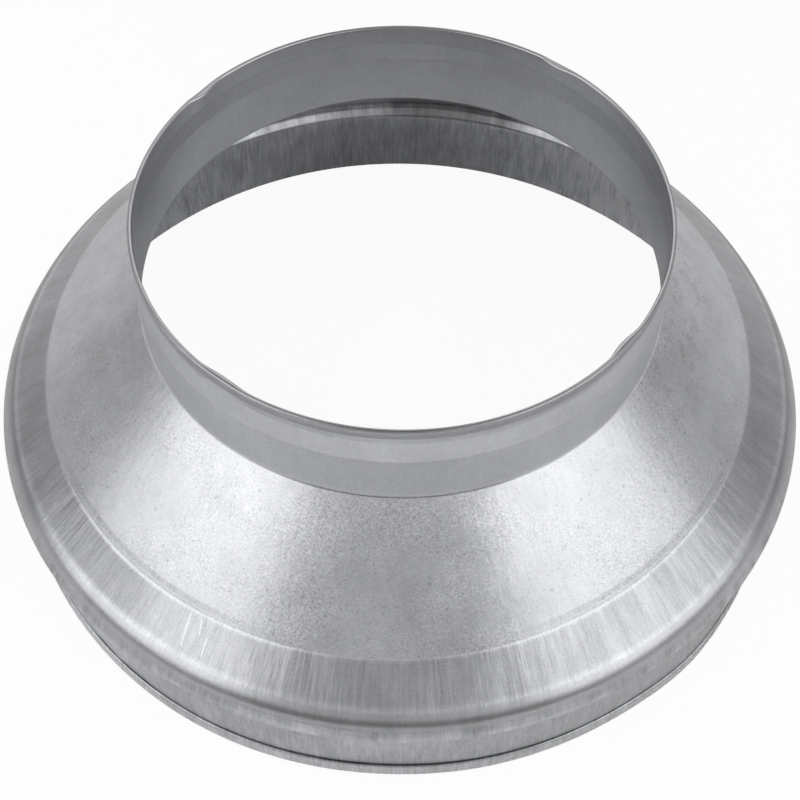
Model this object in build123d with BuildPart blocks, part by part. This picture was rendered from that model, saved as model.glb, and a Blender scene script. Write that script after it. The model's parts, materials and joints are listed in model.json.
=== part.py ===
from build123d import *
import math
import os

# Duct reducer: one deep-drawn shell of galvanised sheet, standing on its big end.
# The origin is the centre of the foot, and +Z runs up the duct axis to the small end.
# Sizes are in millimetres, and radii are of the outside face of the sheet.

# Sheet and overall height
sheet = 0.5
height = 86.0

# Small end: a collar that goes into a 125 mm duct, drawn in a little below its rim
collar_radius = 62.2
collar_length = 24.0
lead_start = 10.7
lead_end = 5.0

# Hem of the small end, folded outwards and down, lying just inside the collar
rim_inset = 0.1
rim_hem = 2.4
rim_gap = 0.1

# Pressed dents in the rim: its wall is pushed in, and the hem outside it follows by a share
dent_count = 4
dent_depth = 0.8
dent_width = 11.5
dent_bearing = 51.7
dent_hem_share = 0.25
dent_nick = 0.05
neck_land = 0.5

# Cone, the flatter band below its draw line, and the steeper shoulder below the band
cone_angle = 44.5
draw_inset = 11.5
band_angle = 38.5
shoulder_reach = 2.64
shoulder_angle = 62.0

# Edge of the shoulder, which stops a duct that the big end goes into, and the step back under it
edge_stand = 2.53
step_angle = 40.0

# Skirt and the open hem of the big end, which goes into a 200 mm duct
skirt_taper = 3.0
foot_radius = 99.5
foot_hem = 4.0
foot_gap = 0.4
foot_land = 0.3

# Bend radii of the outside face, and the foot fold's share of its gap (a half circle is 0.5)
lead_round = 2.0
crease_round = 1.0
draw_round = 6.0
shoulder_round = 8.0
edge_round = 3.0
step_round = 1.5
foot_round = 2.0
fold_share = 0.45

# Places worked out from the driving sizes
rim_radius = collar_radius - rim_inset
rim_wall = rim_radius - sheet - rim_gap
rim_inside = rim_wall - sheet
rim_fold = height - (rim_radius - rim_inside) / 2
rim_root = height - lead_end + neck_land
foot_wall = foot_radius - sheet - foot_gap
foot_bend = foot_hem + foot_land
fold_round = fold_share * foot_gap
crease_height = height - collar_length
cone_fall = math.tan(math.radians(cone_angle))
band_fall = math.tan(math.radians(band_angle))
shoulder_fall = math.tan(math.radians(shoulder_angle))
step_spread = math.tan(math.radians(step_angle))
skirt_spread = math.tan(math.radians(skirt_taper))
draw_radius = foot_radius - draw_inset
draw_height = crease_height - (draw_radius - collar_radius) * cone_fall
edge_radius = foot_radius + edge_stand
shoulder_radius = edge_radius - shoulder_reach
shoulder_height = draw_height - (shoulder_radius - draw_radius) * band_fall
edge_height = shoulder_height - shoulder_reach * shoulder_fall

# The step ends where its line meets the line of the skirt
step_drop = edge_radius - foot_wall - (edge_height - foot_bend) * skirt_spread
step_height = edge_height - step_drop / (step_spread - skirt_spread)
step_radius = foot_wall + (step_height - foot_bend) * skirt_spread

# Angles round the axis, and the sections that a dent is lofted through
dent_pitch = 360 / dent_count
half_dent = math.degrees(dent_width / rim_radius) / 2
dent_steps = 6
cut_margin = 1.0


def section_plane(bearing):
    """Plane through the axis: its local x is the radius, and its local y the height."""
    turn = math.radians(bearing)
    outwards = (math.cos(turn), math.sin(turn), 0)
    across = (math.sin(turn), -math.cos(turn), 0)
    return Plane(origin=(0, 0, 0), x_dir=outwards, z_dir=across)


def rim_section(push=0.0, nick=0.0):
    """Folded rim from the neck up: its wall leans in by push, and is thinned by nick at the neck."""
    layer = rim_radius - sheet
    hem_edge = height - rim_hem
    nick_top = rim_root + neck_land
    hem_push = dent_hem_share * push

    def lean(radius, level, shift):
        return (radius - shift * (level - rim_root) / (rim_fold - rim_root), level)

    with BuildLine() as outline:
        Polyline(
            (rim_inside + nick, rim_root),
            lean(rim_inside, nick_top, push),
            lean(rim_inside, rim_fold, push),
        )
        ThreePointArc(
            lean(rim_inside, rim_fold, push),
            ((rim_inside + rim_radius - push - hem_push) / 2, height),
            lean(rim_radius, rim_fold, hem_push),
        )
        Polyline(
            lean(rim_radius, rim_fold, hem_push),
            lean(rim_radius, hem_edge, hem_push),
            lean(layer, hem_edge, hem_push),
            lean(layer, rim_fold, hem_push),
            lean(rim_wall, rim_fold, push),
            lean(rim_wall, nick_top, push),
            (rim_wall - nick, rim_root),
            (rim_inside + nick, rim_root),
        )
    make_face(outline.edges())


def dent_push(step):
    """Inward push of the rim's wall, from one side of a dent (-1) over its flat middle (0) to the other (1)."""
    return dent_depth * (1 - step**4) ** 2


with BuildPart() as reducer_body:
    # The whole sheet in section: the line of its outside face, thickened inwards, and the folded rim
    with BuildSketch(Plane.XZ):
        with BuildLine():
            FilletPolyline(
                (rim_wall, rim_root),
                (rim_wall, height - lead_end),
                (collar_radius, height - lead_start),
                (collar_radius, crease_height),
                (draw_radius, draw_height),
                (shoulder_radius, shoulder_height),
                (edge_radius, edge_height),
                (step_radius, step_height),
                (foot_wall, foot_bend),
                (foot_wall, sheet),
                (foot_wall + foot_gap, sheet),
                (foot_wall + foot_gap, foot_hem),
                radius=(
                    lead_round,
                    lead_round,
                    crease_round,
                    draw_round,
                    shoulder_round,
                    edge_round,
                    step_round,
                    foot_round,
                    fold_round,
                    fold_round,
                ),
            )
            offset(amount=sheet, side=Side.LEFT)
        make_face()
        rim_section()
    revolve(axis=Axis.Z)

    for index in range(dent_count):
        bearing = dent_bearing + index * dent_pitch
        # Take the plain rim away where the dent goes
        with BuildSketch(section_plane(bearing - half_dent)):
            with Locations((rim_inside - cut_margin - dent_depth, rim_root)):
                Rectangle(
                    rim_radius - rim_inside + dent_depth + 2 * cut_margin,
                    height - rim_root + cut_margin,
                    align=Align.MIN,
                )
        revolve(axis=Axis.Z, revolution_arc=2 * half_dent, mode=Mode.SUBTRACT)
        # Put the dented stretch in its place
        for count in range(dent_steps + 1):
            step = 2 * count / dent_steps - 1
            with BuildSketch(section_plane(bearing + step * half_dent)):
                rim_section(dent_push(step), dent_nick)
        loft()

reducer_body.part.label = "reducer_body"

os.makedirs("parts", exist_ok=True)
export_step(reducer_body.part, "parts/reducer_body.step")
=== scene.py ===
import json
import math
from types import SimpleNamespace

import bpy
import numpy as np
from mathutils import Matrix, Vector


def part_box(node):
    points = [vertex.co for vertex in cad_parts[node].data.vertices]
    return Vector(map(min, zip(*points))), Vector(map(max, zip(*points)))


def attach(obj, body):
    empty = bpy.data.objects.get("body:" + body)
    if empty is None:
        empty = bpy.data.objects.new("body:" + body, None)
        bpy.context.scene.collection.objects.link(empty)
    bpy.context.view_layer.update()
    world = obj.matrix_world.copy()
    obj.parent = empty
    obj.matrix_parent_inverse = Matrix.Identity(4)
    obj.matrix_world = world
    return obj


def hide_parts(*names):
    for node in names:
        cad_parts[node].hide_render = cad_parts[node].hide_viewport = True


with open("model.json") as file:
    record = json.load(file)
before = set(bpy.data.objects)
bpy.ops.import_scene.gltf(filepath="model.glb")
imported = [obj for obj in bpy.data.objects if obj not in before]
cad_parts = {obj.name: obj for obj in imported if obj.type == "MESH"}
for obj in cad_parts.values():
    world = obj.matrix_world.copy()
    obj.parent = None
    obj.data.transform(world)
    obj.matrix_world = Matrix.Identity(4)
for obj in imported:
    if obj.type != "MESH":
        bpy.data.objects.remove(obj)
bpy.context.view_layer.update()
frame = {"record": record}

# Duct reducer of galvanised sheet, standing on its big end.
# Sizes are in millimetres until the mesh is made, and angles round the axis are in degrees:
# 0 faces the camera, and they grow to the right.
MM = 0.001

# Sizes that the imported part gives
NODE = "reducer_body"
low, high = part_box(NODE)
mounts = {mount["name"]: mount["dims"] for mount in frame["record"]["mounts"]}
height = (high.z - low.z) / MM
collar_radius = mounts["small_end"]["r_mm"]
foot_radius = mounts["big_end"]["r_mm"]

# Sizes of the section, as the part has them
sheet = 0.5
collar_length = 24.0
lead_start = 10.7
lead_end = 5.0
rim_inset = 0.1
rim_hem = 2.4
rim_gap = 0.1
neck_land = 0.5
cone_angle = 44.5
draw_inset = 11.5
band_angle = 38.5
shoulder_reach = 2.64
shoulder_angle = 62.0
edge_stand = 2.53
step_angle = 40.0
skirt_taper = 3.0
foot_hem = 4.0
foot_gap = 0.4
foot_land = 0.3

# Bend radii of the outside face, and a fold's share of its gap
lead_round = 2.0
crease_round = 1.0
draw_round = 6.0
shoulder_round = 8.0
edge_round = 3.0
step_round = 1.5
foot_round = 2.0
fold_share = 0.45

# Pressed dents in the rim: the bearing, depth, width, and shift of the deepest place of each.
# The wall is pushed in, and the hem outside it follows only a little.
dents = (
    (51.6, 0.75, 11.5, -0.1),
    (141.2, 0.8, 11.5, 0.2),
    (231.4, 1.05, 11.0, 0.28),
    (322.6, 0.55, 13.5, 0.0),
)
dent_hem_share = 0.25

# The draw line was pressed a little off centre and out of round
draw_shift = 0.66
draw_skew = 0.31
draw_oval = 0.2

# The foot is out of round: the bearing, reach and lift of each wave
foot_waves = (
    (-120.0, 18.0, 0.25),
    (-78.0, 9.0, -0.3),
    (-55.0, 16.0, -0.33),
    (-22.0, 14.0, 0.15),
    (12.0, 9.0, 0.12),
    (45.0, 8.0, 0.65),
    (67.0, 8.0, -0.45),
    (125.0, 14.0, 0.3),
)

# The open hem of the foot lies closer to the wall away from these bearings, given with their reach
gap_closed = 0.02
gap_open = 0.13
gap_places = ((-1.0, 27.0), (-38.5, 3.0), (-45.8, 2.0), (-95.0, 22.0), (128.0, 26.0), (-160.0, 18.0))

# Bright scratches down the band: bearing at the top, top and foot level, and lean in degrees per millimetre
scratches = (
    (-31.1, 35.4, 30.6, 0.11),
    (-29.2, 35.4, 33.2, 0.22),
    (-27.4, 33.3, 30.6, 0.04),
)

# Edges of the sheet: their bulge, and the rise of the foot hem's edge towards its outside face
edge_bulge = 0.1
foot_lip = 0.42

# Resolution of the mesh
turns = 520
edge_steps = 4

# Places worked out from the sizes
rim_radius = collar_radius - rim_inset
rim_wall = rim_radius - sheet - rim_gap
rim_top = height - sheet
rim_root = height - lead_end + neck_land
hem_edge = height - rim_hem
foot_wall = foot_radius - sheet - foot_gap
foot_bend = foot_hem + foot_land
crease_height = height - collar_length
cone_fall = math.tan(math.radians(cone_angle))
band_fall = math.tan(math.radians(band_angle))
shoulder_fall = math.tan(math.radians(shoulder_angle))
step_spread = math.tan(math.radians(step_angle))
skirt_spread = math.tan(math.radians(skirt_taper))
draw_radius = foot_radius - draw_inset
draw_height = crease_height - (draw_radius - collar_radius) * cone_fall
edge_radius = foot_radius + edge_stand
shoulder_radius = edge_radius - shoulder_reach
shoulder_height = draw_height - (shoulder_radius - draw_radius) * band_fall
edge_height = shoulder_height - shoulder_reach * shoulder_fall
step_drop = edge_radius - foot_wall - (edge_height - foot_bend) * skirt_spread
step_height = edge_height - step_drop / (step_spread - skirt_spread)
step_radius = foot_wall + (step_height - foot_bend) * skirt_spread


# Shape of the sheet

angles = np.arange(turns) * 2 * np.pi / turns

# Which bend of the section is the draw line, and how many points past the middle of a fold the inside starts
draw_bend = 5
fold_points = 3


def unit(vectors):
    return vectors / np.linalg.norm(vectors, axis=-1, keepdims=True)


def left_of(vectors):
    """A quarter turn to the left: outwards, where the line of the section runs down."""
    return np.stack([-vectors[..., 1], vectors[..., 0]], axis=-1)


def corner(radius, level):
    """One corner of the section at every angle round the axis."""
    return np.stack(np.broadcast_arrays(radius + 0 * angles, level + 0 * angles), axis=-1)


def away_from(bearing):
    """Every angle round the axis, measured from a bearing."""
    return np.angle(np.exp(1j * (angles - math.radians(bearing))))


def swell(bearing, reach):
    """A smooth hump round a bearing, 1 at its middle."""
    return np.exp(-((away_from(bearing) / math.radians(reach)) ** 2))


def foot_wave():
    """How far the foot stands out from round at every angle."""
    return sum(lift * swell(bearing, reach) for bearing, reach, lift in foot_waves)


def foot_gap_wave():
    """Width of the foot hem's gap at every angle."""
    opening = sum(swell(bearing, reach) for bearing, reach in gap_places)
    return gap_closed + gap_open * np.minimum(opening, 1.0)


def section_line():
    """Corners of the outside face: place, bend radius, and points in the bend and on the run after it."""
    draw_wave = (
        -draw_shift * np.sin(angles) - draw_skew * np.sin(2 * angles) + draw_oval * np.cos(2 * angles)
    )
    rim_fold = fold_share * rim_gap
    gap = foot_gap_wave()
    foot_fold = fold_share * gap[:, None]
    wave = foot_wave()
    hem_face = foot_radius - sheet + wave
    return [
        (corner(rim_radius - sheet, hem_edge), None, 0, 0),
        (corner(rim_radius - sheet, rim_top), rim_fold, 4, 0),
        (corner(rim_wall, rim_top), rim_fold, 4, 0),
        (corner(rim_wall, height - lead_end), lead_round, 4, 0),
        (corner(collar_radius, height - lead_start), lead_round, 4, 3),
        (corner(collar_radius, crease_height), crease_round, 5, 6),
        (corner(draw_radius + draw_wave, draw_height - draw_wave * cone_fall), draw_round, 4, 3),
        (corner(shoulder_radius, shoulder_height), shoulder_round, 8, 2),
        (corner(edge_radius, edge_height), edge_round, 8, 2),
        (corner(step_radius, step_height), step_round, 5, 3),
        (corner(hem_face - gap, foot_bend), foot_round, 4, 0),
        (corner(hem_face - gap, sheet), foot_fold, 4, 0),
        (corner(hem_face, sheet), foot_fold, 4, 0),
        (corner(hem_face, foot_hem), None, 0, 0),
    ]


def rounded_line(corners):
    """Points along the line with its bends rounded, their normals, and the index of each bend's middle."""
    points = [corners[0][0]]
    normals = [left_of(unit(corners[1][0] - corners[0][0]))]
    middles = []
    for before, here, after in zip(corners, corners[1:], corners[2:]):
        place, radius, steps, extra = here
        way_in = unit(place - before[0])
        way_out = unit(after[0] - place)
        cross = way_in[..., 0] * way_out[..., 1] - way_in[..., 1] * way_out[..., 0]
        side = np.sign(cross)[:, None]
        turn = np.arccos((way_in * way_out).sum(-1))[:, None]
        centre = place - way_in * radius * np.tan(turn / 2) + side * radius * left_of(way_in)
        middles.append(len(points) + steps // 2)
        for count in range(steps + 1):
            share = count / steps
            normal = left_of(way_in) * np.sin((1 - share) * turn) + left_of(way_out) * np.sin(share * turn)
            normal = normal / np.sin(turn)
            points.append(centre - side * radius * normal)
            normals.append(normal)
        # The points on a run that ends in another bend go no further than its middle
        run_end = after[0]
        if after[1] is not None:
            run_end = (place + after[0]) / 2
        start = points[-1]
        for count in range(extra):
            share = (count + 1) / (extra + 1)
            points.append(start + (run_end - start) * share)
            normals.append(normals[-1])
    points.append(corners[-1][0])
    normals.append(left_of(unit(corners[-1][0] - corners[-2][0])))
    return np.array(points), np.array(normals), middles


def dent_push():
    """Inward push of the rim's wall at every angle: a dip at each dent, deeper towards one side."""
    push = np.zeros(turns)
    for bearing, depth, width, shift in dents:
        half = width / rim_radius / 2
        step = np.clip(away_from(bearing) / half, -1, 1)
        step = step - shift * (1 - step**2)
        push += depth * (1 - step**2) ** 1.5
    return push


def press_dents(points):
    """Lean the rim in at its dents, about the neck below it: the wall in full, the hem by its share."""
    lift = np.clip((points[..., 1] - rim_root) / (rim_top - rim_root), 0, 1)
    across = np.clip((points[..., 0] - rim_wall) / (rim_radius - sheet - rim_wall), 0, 1)
    points[..., 0] -= dent_push() * lift * (1 + (dent_hem_share - 1) * across)


def edge_between(first, last, outwards):
    """A rounded sheet edge, from one face to the other."""
    rows = []
    for count in range(1, edge_steps):
        share = count / edge_steps
        bulge = edge_bulge * math.sin(math.pi * share)
        rows.append(first + (last - first) * share + np.array([0.0, bulge * outwards]))
    return np.array(rows)


def reducer_mesh():
    """The sheet in section, swept once round the axis, with the values that its material needs."""
    face, normals, middles = rounded_line(section_line())
    back = face - normals * sheet
    strides = np.linalg.norm(np.diff(face, axis=0), axis=-1)
    travel = np.concatenate([np.zeros((1, turns)), strides.cumsum(0)])
    face[-1, :, 1] += foot_lip
    foot_edge = edge_between(face[-1], back[-1], 1.0)
    rim_edge = edge_between(back[0], face[0], -1.0)
    loop = np.concatenate([face, foot_edge, back[::-1], rim_edge])
    press_dents(loop)
    draw_travel = travel[middles[draw_bend]]
    foot_travel = np.repeat(travel[-1:], len(foot_edge), 0)
    rim_travel = np.repeat(travel[:1], len(rim_edge), 0)
    along = np.concatenate([travel, foot_travel, travel[::-1], rim_travel])
    hidden = np.zeros((len(face), turns))
    hidden[middles[0] + fold_points:middles[-1] - fold_points + 1] = 1.0
    inside = np.concatenate([0 * face[..., 0], 0 * foot_edge[..., 0], hidden[::-1], 0 * rim_edge[..., 0]])

    rows = len(loop)
    places = np.stack(
        [loop[..., 0] * np.sin(angles), -loop[..., 0] * np.cos(angles), loop[..., 1]], axis=-1
    ) * MM
    row = np.arange(rows)[:, None]
    column = np.arange(turns)[None, :]
    next_row = (row + 1) % rows
    next_column = (column + 1) % turns
    quads = np.stack(
        [
            row * turns + column,
            next_row * turns + column,
            next_row * turns + next_column,
            row * turns + next_column,
        ],
        axis=-1,
    ).reshape(-1, 4)
    mesh = bpy.data.meshes.new("reducer_shell")
    mesh.from_pydata(places.reshape(-1, 3).tolist(), [], quads.tolist())
    mesh.shade_smooth()
    for name, values in (("inside", inside), ("below_draw", along - draw_travel)):
        attribute = mesh.attributes.new(name, "FLOAT", "POINT")
        attribute.data.foreach_set("value", values.astype(np.float32).ravel())
    mesh.update()
    return mesh


# Finish of the sheet, with painted light and shade


class Graph:
    """Short names for the nodes that a material is made of."""

    def __init__(self, tree):
        self.tree = tree

    def add(self, kind, **settings):
        node = self.tree.nodes.new(kind)
        for name, value in settings.items():
            setattr(node, name, value)
        return node

    def join(self, value, socket):
        if isinstance(value, bpy.types.NodeSocket):
            self.tree.links.new(value, socket)
        else:
            socket.default_value = value

    def attribute(self, name):
        return self.add("ShaderNodeAttribute", attribute_name=name).outputs["Fac"]

    def math(self, operation, first, second=0.0, third=0.0):
        node = self.add("ShaderNodeMath", operation=operation)
        for value, socket in zip((first, second, third), node.inputs):
            self.join(value, socket)
        return node.outputs[0]

    def times(self, first, second):
        return self.math("MULTIPLY", first, second)

    def ramp(self, value, start, end, first=0.0, last=1.0):
        node = self.add("ShaderNodeMapRange", interpolation_type="SMOOTHSTEP")
        for number, socket in zip((value, start, end, first, last), node.inputs):
            self.join(number, socket)
        return node.outputs[0]

    def band(self, value, start, end, soft):
        """1 between two values, with soft edges."""
        rise = self.ramp(value, start - soft, start + soft)
        fall = self.ramp(value, end - soft, end + soft, 1.0, 0.0)
        return self.times(rise, fall)

    def noise(self, vector, scale, detail=3.0, roughness=0.5):
        node = self.add("ShaderNodeTexNoise")
        self.join(vector, node.inputs["Vector"])
        self.join(scale, node.inputs["Scale"])
        self.join(detail, node.inputs["Detail"])
        self.join(roughness, node.inputs["Roughness"])
        return node.outputs["Fac"]

    def mix(self, share, first, second):
        node = self.add("ShaderNodeMix", data_type="FLOAT")
        self.join(share, node.inputs[0])
        self.join(first, node.inputs[2])
        self.join(second, node.inputs[3])
        return node.outputs[0]

    def shift(self, pattern, strength, base):
        """A base value, moved up and down by a pattern round its middle."""
        return self.math("MULTIPLY_ADD", self.math("SUBTRACT", pattern, 0.5), strength, base)

    def scale(self, vector, factor):
        node = self.add("ShaderNodeVectorMath", operation="SCALE")
        self.join(vector, node.inputs[0])
        self.join(factor, node.inputs["Scale"])
        return node.outputs[0]


# Zinc coating: its colour, and its least and greatest roughness
zinc_colour = (0.613, 0.621, 0.641)
least_rough = 0.24
most_rough = 0.40

# Patterns that are drawn out down the sheet lie on a ring of this radius
pattern_ring = 100.0

# Scratches: half their width and their soft edge in degrees, their soft ends in millimetres, and their shade
scratch_half = 0.09
scratch_soft = 0.07
scratch_ends = 0.25
scratch_shine = 1.45

# Relief of the patterns: how high each stands at its most, in millimetres
speckle_relief = 0.014
mottle_relief = 0.045
streak_relief = 0.035
stain_relief = 0.1


def sheet_spot(graph):
    """Where a point of the sheet lies, in millimetres and degrees, and its place on the pattern ring."""
    at = graph.scale(graph.add("ShaderNodeTexCoord").outputs["Object"], 1 / MM)
    parts = graph.add("ShaderNodeSeparateXYZ")
    graph.join(at, parts.inputs[0])
    across = parts.outputs["X"]
    deep = parts.outputs["Y"]
    turn = graph.math("ARCTAN2", across, graph.times(deep, -1.0))
    flat = graph.add("ShaderNodeCombineXYZ")
    graph.join(across, flat.inputs["X"])
    graph.join(deep, flat.inputs["Y"])
    outwards = graph.add("ShaderNodeVectorMath", operation="NORMALIZE")
    graph.join(flat.outputs[0], outwards.inputs[0])
    return SimpleNamespace(
        at=at,
        across=across,
        level=parts.outputs["Z"],
        bearing=graph.times(turn, 180 / math.pi),
        ring=graph.scale(outwards.outputs[0], pattern_ring),
    )


def drawn_out(graph, spot, pace):
    """Coordinates that run down the sheet at a slower pace, which makes a pattern long that way."""
    drop = graph.add("ShaderNodeCombineXYZ")
    graph.join(graph.times(spot.level, pace), drop.inputs["Z"])
    total = graph.add("ShaderNodeVectorMath", operation="ADD")
    graph.join(spot.ring, total.inputs[0])
    graph.join(drop.outputs[0], total.inputs[1])
    return total.outputs[0]


def sheet_zones(graph, spot):
    """Zones of the sheet, each 1 where it lies: those round the axis, then those from the rim down."""
    level = spot.level
    zone = SimpleNamespace()
    zone.inside = graph.attribute("inside")
    zone.outside = graph.math("SUBTRACT", 1.0, zone.inside)
    zone.below_draw = graph.attribute("below_draw")
    zone.drawn = graph.ramp(zone.below_draw, -0.3, 0.5)
    turned = graph.math("ABSOLUTE", spot.bearing)
    zone.aside = graph.ramp(turned, 14.0, 32.0)
    zone.far_aside = graph.ramp(turned, 52.0, 72.0)
    zone.lobes = graph.times(zone.aside, graph.math("SUBTRACT", 1.0, zone.far_aside))
    # Bearings where the collar gets a painted highlight
    zone.flank = graph.band(turned, 20.0, 50.0, 13.0)
    # Stretch between the two lit arcs inside, where shade is painted
    zone.arc_gap = graph.band(spot.across, -4.0, 34.0, 8.0)

    zone.collar = graph.band(level, crease_height, height - lead_start, 0.3)
    # Thin line along the crease, where light and shade are painted
    zone.crease = graph.band(level, crease_height - 0.2, crease_height + 0.15, 0.12)
    below_crease = graph.ramp(level, crease_height - 1.0, crease_height, 1.0, 0.0)
    zone.cone = graph.times(graph.math("SUBTRACT", 1.0, zone.drawn), below_crease)
    strip_top = shoulder_height + 1.4
    line_level = shoulder_height - 1.9
    band_level = graph.ramp(level, strip_top, strip_top + 1.4)
    zone.band = graph.times(graph.ramp(zone.below_draw, 0.2, 1.0), band_level)
    zone.strip = graph.band(level, line_level, strip_top, 0.5)
    zone.ledge = graph.band(level, step_height + 0.8, line_level, 0.5)
    # Line along the shoulder's lower edge that gets a painted highlight
    zone.ledge_end = graph.band(level, edge_height - 1.6, edge_height - 0.9, 0.2)
    zone.skirt = graph.ramp(level, step_height - 0.5, step_height + 0.5, 1.0, 0.0)
    return zone


def sheet_patterns(graph, spot):
    """Grain, mottling and clouds of the zinc, then streaks and stains where the sheet was drawn."""
    return SimpleNamespace(
        speckle=graph.noise(spot.at, 2.0, 3.0, 0.7),
        specks=graph.noise(spot.at, 1.1, 2.0, 0.5),
        mottle=graph.noise(drawn_out(graph, spot, 0.6), 0.45, 3.0, 0.6),
        clouds=graph.noise(spot.at, 0.1, 4.0, 0.6),
        grain_patches=graph.noise(spot.at, 0.06, 2.0, 0.5),
        blotches=graph.noise(spot.at, 0.4, 2.0, 0.5),
        streaks=graph.noise(drawn_out(graph, spot, 0.1), 1.5, 3.0, 0.6),
        stains=graph.noise(drawn_out(graph, spot, 0.3), 0.32, 3.0, 0.6),
        fine=graph.noise(drawn_out(graph, spot, 0.12), 2.4, 1.0, 0.5),
    )


def outside_shades(graph, spot, zone, pattern):
    """Zones of the outside face, from the rim down, each with its factor on the shade: some are the sheet's
    own tone, most are painted light and shade.
    """
    level = spot.level
    lead_level = height - lead_start
    dashes = graph.times(pattern.fine, graph.band(zone.below_draw, -2.4, -1.2, 0.2))
    return (
        (graph.ramp(level, hem_edge - 0.3, hem_edge - 0.1), 0.7),
        # Painted shadow: a dark line just below the rim hem's edge.
        (graph.band(level, hem_edge - 0.5, hem_edge - 0.15, 0.1), 0.8),
        (graph.band(level, lead_level, hem_edge - 0.2, 0.2), 0.95),
        (graph.band(level, lead_level - 0.15, lead_level + 0.1, 0.1), 0.95),
        (graph.ramp(level, crease_height, crease_height + 0.3), 0.95),
        # Painted highlight: the collar is lighter at its flanks, at the bearings of the highlight lobes.
        (graph.times(zone.collar, zone.flank), 1.15),
        # Painted shade in the concave crease, turning to a painted highlight at the sides, with a painted
        # light strip just above it.
        (zone.crease, graph.mix(zone.aside, 0.58, 1.1)),
        (graph.band(level, crease_height + 0.5, crease_height + 1.2, 0.25), 1.05),
        (graph.times(zone.cone, graph.band(spot.bearing, -86.0, -70.0, 6.0)), 0.9),
        # Marks along the draw line, partly the sheet's own tool marks and partly painted light: in the
        # highlight lobes, painted shade in a band above it with dark dashes, and two painted light lines;
        # away from the lobes the line itself is darker; a dark line runs just below it.
        (graph.times(zone.lobes, graph.band(zone.below_draw, -2.5, -0.25, 0.2)), 0.84),
        (graph.times(zone.lobes, graph.ramp(dashes, 0.5, 0.62)), 0.82),
        (graph.times(zone.lobes, graph.band(zone.below_draw, -1.05, -0.85, 0.12)), 1.18),
        (graph.band(zone.below_draw, -0.1, 0.08, 0.1), graph.mix(zone.lobes, 1.13, 0.93)),
        (graph.band(zone.below_draw, 0.35, 0.6, 0.12), 0.88),
        # The drawn band is darker: partly its own tone, partly painted shade; on its left, beside the left
        # highlight lobe, more painted shade.
        (zone.band, 0.76),
        (graph.times(zone.band, graph.band(spot.bearing, -57.0, -38.0, 8.0)), 0.7),
        # Painted shade on the shoulder strip and the ledge below it, deepest far to the sides.
        (zone.strip, graph.mix(zone.far_aside, 0.8, 0.6)),
        (zone.ledge, graph.mix(zone.far_aside, 0.73, 0.66)),
        # Painted highlight: a bright line along the shoulder's lower edge, in front.
        (graph.times(zone.ledge_end, graph.band(spot.bearing, -34.0, 20.0, 5.0)), 1.5),
        # The skirt is darker: partly its own drawn tone, partly painted shade for the shadowed floor it
        # mirrors; on its left, a painted highlight.
        (zone.skirt, 0.69),
        (graph.times(zone.skirt, graph.band(spot.bearing, -58.0, -38.0, 8.0)), 1.3),
        (graph.ramp(level, foot_hem + 0.1, foot_hem + 0.3, 1.0, 0.0), 1.3),
    )


def inside_shades(graph, spot, zone):
    """Zones of the inside face, from the rim down, each with its factor on the shade: mostly painted light
    and shade.
    """
    level = spot.level
    lead_level = height - lead_start
    neck_level = height - lead_end
    sideways = graph.math("ABSOLUTE", spot.across)
    # Painted shade: the inside of the collar is darker near the middle and lighter towards the sides.
    collar_shade = graph.ramp(sideways, 15.0, 60.0, 0.76, 1.02)
    under_collar = graph.band(level, step_height, crease_height - 1.0, 0.5)
    return (
        (graph.band(level, neck_level - 0.2, neck_level + 0.2, 0.15), 0.86),
        (graph.band(level, lead_level, neck_level, 0.3), 0.87),
        (graph.band(level, lead_level - 0.2, lead_level + 0.1, 0.1), 0.94),
        (graph.ramp(level, crease_height - 1.5, crease_height - 0.5), collar_shade),
        # Painted shade on the underside of the cone and of the shoulder.
        (graph.band(level, edge_height + 0.5, crease_height - 1.5, 0.6), 0.72),
        (graph.band(level, step_height, edge_height + 0.5, 0.5), 0.72),
        # Painted shade between the two lit arcs, under the collar.
        (graph.times(under_collar, zone.arc_gap), 0.5),
        # Painted light on the inner skirt: darker in the middle, lighter towards the right and the left.
        (zone.skirt, 0.9),
        (graph.times(zone.skirt, graph.ramp(spot.across, 0.0, 65.0)), 1.5),
        (graph.times(zone.skirt, graph.ramp(spot.across, -75.0, -10.0, 1.0, 0.0)), 1.28),
    )


def zone_shade(graph, spot, zone, pattern):
    """Shade of the sheet by its zones alone: its own tones, and painted light and shade."""
    shade = graph.mix(zone.inside, 1.0, 1.08)
    sides = (
        (zone.outside, outside_shades(graph, spot, zone, pattern)),
        (zone.inside, inside_shades(graph, spot, zone)),
    )
    for side, shades in sides:
        for place, factor in shades:
            shade = graph.times(shade, graph.mix(graph.times(place, side), 1.0, factor))
    return shade


def plain_shade(graph, zone, pattern, smooth):
    """Grain, mottling and specks, where the sheet was not drawn."""
    grain = graph.ramp(pattern.grain_patches, 0.36, 0.64, 0.75, 1.75)
    grain = graph.times(grain, graph.mix(zone.far_aside, graph.mix(zone.lobes, 1.0, 0.75), 0.55))
    mottled = graph.shift(pattern.mottle, 0.16, 1.0)
    shade = graph.shift(pattern.speckle, graph.mix(smooth, grain, 0.5), mottled)
    dark_specks = graph.times(graph.ramp(pattern.specks, 0.28, 0.36, 1.0, 0.0), zone.cone)
    bright_specks = graph.times(graph.ramp(pattern.specks, 0.68, 0.76), zone.cone)
    shade = graph.times(shade, graph.mix(dark_specks, 1.0, 0.76))
    return graph.times(shade, graph.mix(bright_specks, 1.0, 1.12))


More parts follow.
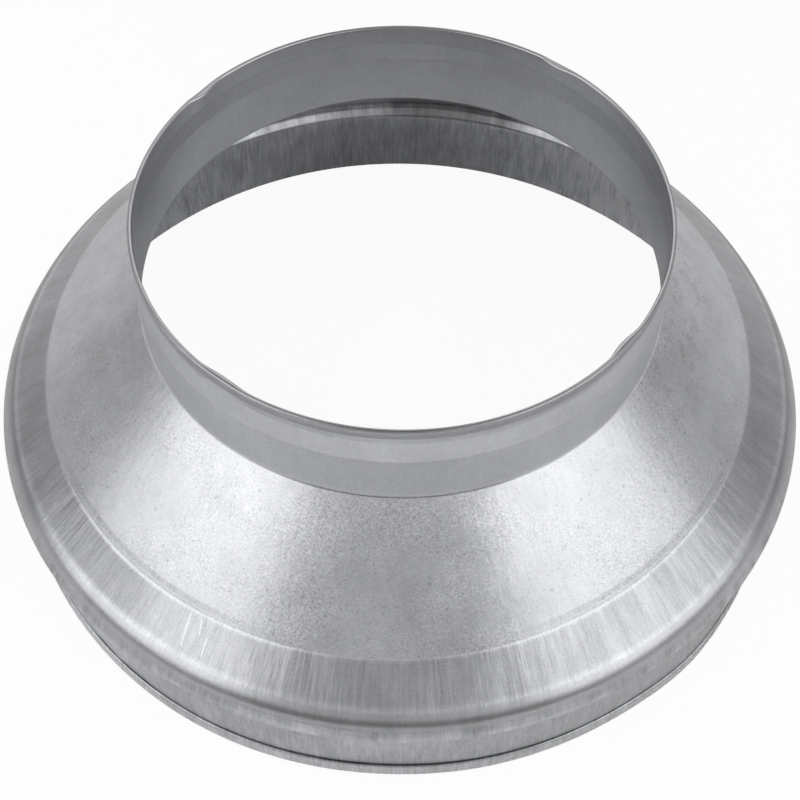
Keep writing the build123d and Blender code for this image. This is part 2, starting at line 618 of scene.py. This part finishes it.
def worked_shade(graph, zone, pattern, calm):
    """Streaks and stains, where the sheet was drawn."""
    patchy = graph.times(calm, graph.mix(zone.ledge, 1.0, 2.0))
    streaky = graph.mix(zone.skirt, graph.mix(zone.far_aside, 0.65, 0.4), 1.0)
    stained = graph.mix(zone.inside, graph.mix(zone.far_aside, 0.6, 0.35), 0.9)
    shade = graph.shift(pattern.streaks, graph.times(calm, streaky), 1.0)
    shade = graph.shift(pattern.stains, graph.times(patchy, stained), shade)
    return graph.shift(pattern.speckle, 0.6, shade)


def pattern_shade(graph, spot, zone, pattern, calm):
    """Shade of the sheet by its patterns alone."""
    above_crease = graph.ramp(spot.level, crease_height - 0.3, crease_height + 0.3)
    smooth = graph.math("MAXIMUM", zone.inside, above_crease)
    plain = plain_shade(graph, zone, pattern, smooth)
    shade = graph.mix(zone.drawn, plain, worked_shade(graph, zone, pattern, calm))
    cloudy = graph.mix(smooth, graph.mix(zone.lobes, 0.5, 0.3), 0.25)
    shade = graph.times(shade, graph.shift(pattern.clouds, cloudy, 1.0))
    blotch = graph.ramp(pattern.blotches, 0.53, 0.61)
    blotch = graph.times(blotch, graph.band(spot.bearing, 62.0, 112.0, 10.0))
    blotch = graph.times(blotch, graph.band(spot.level, 49.0, crease_height - 0.5, 4.0))
    return graph.times(shade, graph.mix(graph.times(blotch, zone.outside), 1.0, 0.85))


def scratch_shade(graph, spot, zone):
    """Shade of the scratches alone."""
    shade = 1.0
    for at_top, top, foot, lean in scratches:
        line = graph.math("MULTIPLY_ADD", graph.math("SUBTRACT", top, spot.level), -lean, spot.bearing)
        wide = graph.band(line, at_top - scratch_half, at_top + scratch_half, scratch_soft)
        mark = graph.times(wide, graph.band(spot.level, foot, top, scratch_ends))
        shade = graph.times(shade, graph.mix(graph.times(mark, zone.outside), 1.0, scratch_shine))
    return shade


def sheet_relief(graph, zone, pattern, calm):
    """Fine relief of the patterns, as a normal."""
    mottled = graph.times(pattern.mottle, mottle_relief)
    stained = graph.times(pattern.stains, stain_relief)
    grain = graph.math("MULTIPLY_ADD", pattern.speckle, speckle_relief, mottled)
    worked = graph.math("MULTIPLY_ADD", pattern.streaks, streak_relief, stained)
    bump = graph.add("ShaderNodeBump")
    bump.inputs["Strength"].default_value = 1.0
    bump.inputs["Distance"].default_value = MM
    graph.join(graph.mix(zone.drawn, grain, graph.times(worked, calm)), bump.inputs["Height"])
    return bump.outputs[0]


def sheet_material():
    """Galvanised sheet: fine speckle on the cone, drawing streaks on the band and skirt, and painted light
    and shade by zones.
    """
    material = bpy.data.materials.new("galvanised_sheet")
    material.use_nodes = True
    graph = Graph(material.node_tree)
    shader = material.node_tree.nodes["Principled BSDF"]
    shader.inputs["Metallic"].default_value = 1.0
    spot = sheet_spot(graph)
    zone = sheet_zones(graph, spot)
    pattern = sheet_patterns(graph, spot)
    calm = graph.mix(zone.strip, 1.0, 0.35)
    shade = zone_shade(graph, spot, zone, pattern)
    shade = graph.times(shade, pattern_shade(graph, spot, zone, pattern, calm))
    shade = graph.times(shade, scratch_shade(graph, spot, zone))
    rough = graph.mix(zone.drawn, pattern.speckle, pattern.streaks)
    graph.join(graph.scale(zinc_colour, shade), shader.inputs["Base Color"])
    graph.join(graph.mix(rough, least_rough, most_rough), shader.inputs["Roughness"])
    graph.join(sheet_relief(graph, zone, pattern, calm), shader.inputs["Normal"])
    return material


def build_reducer():
    shell = bpy.data.objects.new("reducer_shell", reducer_mesh())
    bpy.context.scene.collection.objects.link(shell)
    shell.data.materials.append(sheet_material())
    evened = shell.modifiers.new("even_normals", "WEIGHTED_NORMAL")
    evened.mode = "FACE_AREA"
    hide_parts(NODE)
    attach(shell, "root")


# Stage

# Floor: half its side in metres, its tone and its roughness
floor_reach = 6.0
floor_tone = 0.9
floor_rough = 0.9

# Share of white that the floor shows to the camera, and how much of that in a reflection.
# It starts and is full at these lengths of the ray, in metres.
floor_lift = 0.94
mirrored_lift = 0.45
lift_near = 0.26
lift_far = 0.36


def floor_material():
    """Pale floor that shows almost white, and keeps its true shade in what lies close to it."""
    material = bpy.data.materials.new("pale_floor")
    material.use_nodes = True
    graph = Graph(material.node_tree)
    shader = material.node_tree.nodes["Principled BSDF"]
    shader.inputs["Base Color"].default_value = (floor_tone, floor_tone, floor_tone, 1.0)
    shader.inputs["Roughness"].default_value = floor_rough
    shader.inputs["Specular IOR Level"].default_value = 0.0
    path = graph.add("ShaderNodeLightPath")
    mirrored = graph.times(path.outputs["Is Glossy Ray"], mirrored_lift)
    seen = graph.math("MAXIMUM", path.outputs["Is Camera Ray"], mirrored)
    seen = graph.math("MAXIMUM", seen, path.outputs["Is Transmission Ray"])
    far = graph.ramp(path.outputs["Ray Length"], lift_near, lift_far, 0.0, floor_lift)
    white = graph.add("ShaderNodeEmission")
    blend = graph.add("ShaderNodeMixShader")
    graph.join(graph.times(seen, far), blend.inputs[0])
    graph.join(shader.outputs[0], blend.inputs[1])
    graph.join(white.outputs[0], blend.inputs[2])
    graph.join(blend.outputs[0], material.node_tree.nodes["Material Output"].inputs["Surface"])
    return material


def build_floor():
    mesh = bpy.data.meshes.new("floor")
    signs = ((-1, -1), (1, -1), (1, 1), (-1, 1))
    mesh.from_pydata([(x * floor_reach, y * floor_reach, 0.0) for x, y in signs], [], [(0, 1, 2, 3)])
    floor = bpy.data.objects.new("floor", mesh)
    floor.data.materials.append(floor_material())
    bpy.context.scene.collection.objects.link(floor)


def soft_box(name, bearing, elevation, distance, width, tall, radiance, spread=180.0, aim=(0.0, 0.0, 0.0)):
    """A rectangular studio lamp that faces a point; its radiance is 1 where it would show white."""
    half = math.radians(spread) / 2
    narrowing = 1.0 - half / math.tan(half)
    lamp = bpy.data.lights.new(name, "AREA")
    lamp.shape = "RECTANGLE"
    lamp.size = width
    lamp.size_y = tall
    lamp.energy = radiance * math.pi * width * tall * narrowing
    lamp.spread = 2 * half
    box = bpy.data.objects.new(name, lamp)
    turn = math.radians(bearing)
    rise = math.radians(elevation)
    towards = Vector((math.sin(turn) * math.cos(rise), -math.cos(turn) * math.cos(rise), math.sin(rise)))
    box.location = Vector(aim) + towards * distance
    box.rotation_euler = towards.to_track_quat("Z", "Y").to_euler()
    bpy.context.scene.collection.objects.link(box)
    return box


# Studio sky, by its shade: everywhere, added in front and at the back, at the dark horizon, and high behind.
# Overhead it keeps only a share of its shade.
sky_shade = 0.4
front_shade = 0.22
back_shade = 0.25
horizon_shade = 0.06
behind_shade = 0.5
overhead_share = 0.27

# Soft boxes: bearing and elevation in degrees, distance, width and height in metres, and radiance
soft_boxes = (
    ("left_box", -62.0, 37.5, 0.75, 0.67, 0.69, 1.2),
    ("right_box", 59.4, 37.5, 0.75, 0.68, 0.69, 1.16),
)

# Narrow lamps that light the floor and the inside and show in no reflection: the same values, then the
# spread in degrees and the point that they face in metres
rim_centre = (0.0, 0.0, height * MM)
hidden_lamps = (
    ("floor_lamp_front", 0.0, 90.0, 1.1, 0.15, 0.15, 42.0, 34.0, (0.0, -0.24, 0.0)),
    ("floor_lamp_high", 0.0, 90.0, 0.9, 0.1, 0.1, 28.0, 24.0, (0.0, 0.0, 0.0)),
    ("floor_lamp_left", 0.0, 90.0, 1.0, 0.1, 0.1, 70.0, 22.0, (-0.2, 0.15, 0.0)),
    ("floor_lamp_right", 0.0, 90.0, 1.0, 0.1, 0.1, 41.0, 22.0, (0.2, 0.15, 0.0)),
    ("inner_lamp_left", 90.0, 60.0, 0.9, 0.1, 0.1, 34.0, 24.0, rim_centre),
    ("inner_lamp_right", -90.0, 60.0, 0.9, 0.1, 0.1, 44.0, 24.0, rim_centre),
)


def build_world():
    """Grey studio sky: dark at the horizon, up to a greater height in front, and bright high up behind."""
    world = bpy.data.worlds.new("studio")
    world.use_nodes = True
    graph = Graph(world.node_tree)
    way = graph.add("ShaderNodeSeparateXYZ")
    graph.join(graph.add("ShaderNodeTexCoord").outputs["Generated"], way.inputs[0])
    back_way = way.outputs["Y"]
    up_way = way.outputs["Z"]
    front = graph.ramp(back_way, -0.5, -0.1, 1.0, 0.0)
    back = graph.ramp(back_way, 0.6, 0.95)
    dusk_start = graph.mix(front, -0.02, 0.25)
    dusk_end = graph.mix(front, 0.08, 0.42)
    sky = graph.math("MULTIPLY_ADD", back, back_shade, sky_shade)
    sky = graph.math("MULTIPLY_ADD", front, front_shade, sky)
    low_sky = graph.ramp(up_way, dusk_start, dusk_end, horizon_shade, sky)
    high_sky = graph.ramp(up_way, 0.55, 0.85, 1.0, overhead_share)
    behind = graph.times(graph.ramp(back_way, 0.25, 0.5), graph.ramp(up_way, 0.4, 0.6))
    shade = graph.math("MULTIPLY_ADD", behind, behind_shade, graph.times(low_sky, high_sky))
    graph.join(shade, world.node_tree.nodes["Background"].inputs["Color"])
    bpy.context.scene.world = world


def build_lights():
    build_world()
    for settings in soft_boxes:
        soft_box(*settings)
    for settings in hidden_lamps:
        soft_box(*settings).visible_glossy = False


# Camera, as the photograph was taken: place and near limit in metres, angles in degrees,
# lens and sensor in millimetres

camera_place = (0.0, -0.24416, 0.34743)
camera_near = 0.01
camera_pitch = 53.946
camera_roll = 0.645
camera_lens = 70.55
camera_sensor = 36.0


def build_camera():
    camera = bpy.data.objects.new("camera", bpy.data.cameras.new("camera"))
    camera.data.lens = camera_lens
    camera.data.sensor_width = camera_sensor
    camera.data.clip_start = camera_near
    tilt = Matrix.Rotation(math.radians(90.0 - camera_pitch), 4, "X")
    roll = Matrix.Rotation(math.radians(camera_roll), 4, "Z")
    camera.matrix_world = Matrix.Translation(camera_place) @ tilt @ roll
    bpy.context.scene.collection.objects.link(camera)
    bpy.context.scene.camera = camera


build_reducer()
build_floor()
build_lights()
build_camera()
bpy.context.scene.view_settings.view_transform = "Standard"
